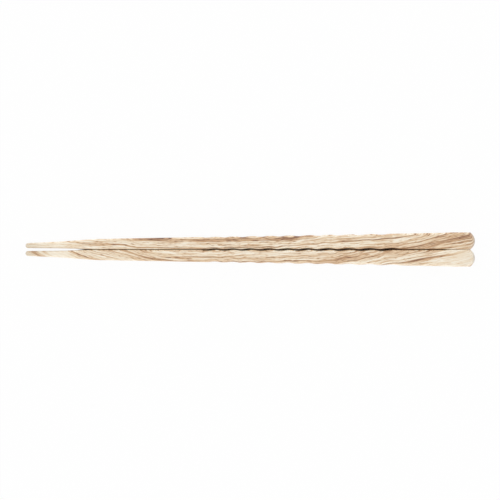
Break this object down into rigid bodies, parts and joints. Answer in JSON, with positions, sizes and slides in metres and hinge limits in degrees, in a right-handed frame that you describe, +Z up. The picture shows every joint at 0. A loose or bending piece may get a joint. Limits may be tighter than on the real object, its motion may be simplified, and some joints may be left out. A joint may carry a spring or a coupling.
{
  "type": "pair of chopsticks",
  "caption": "Pair of tapered square chopsticks with a spiral grip groove, slim rounded tips and domed heads, lying side by side on a table.",
  "frame": {"origin": "on the table, midway along the sticks and between them", "axes": "+X along the sticks from the tips to the heads, +Y across the pair, +Z up"},
  "size_m": [0.225, 0.017, 0.0085],
  "materials": {
    "back_wood_grain": "moulded plastic with a printed pale wood grain, satin",
    "front_wood_grain": "moulded plastic with a printed pale wood grain, satin"
  },
  "bodies": {
    "root": {"back_chopstick": "back_wood_grain", "front_chopstick": "front_wood_grain"}
  },
  "joints": []
}
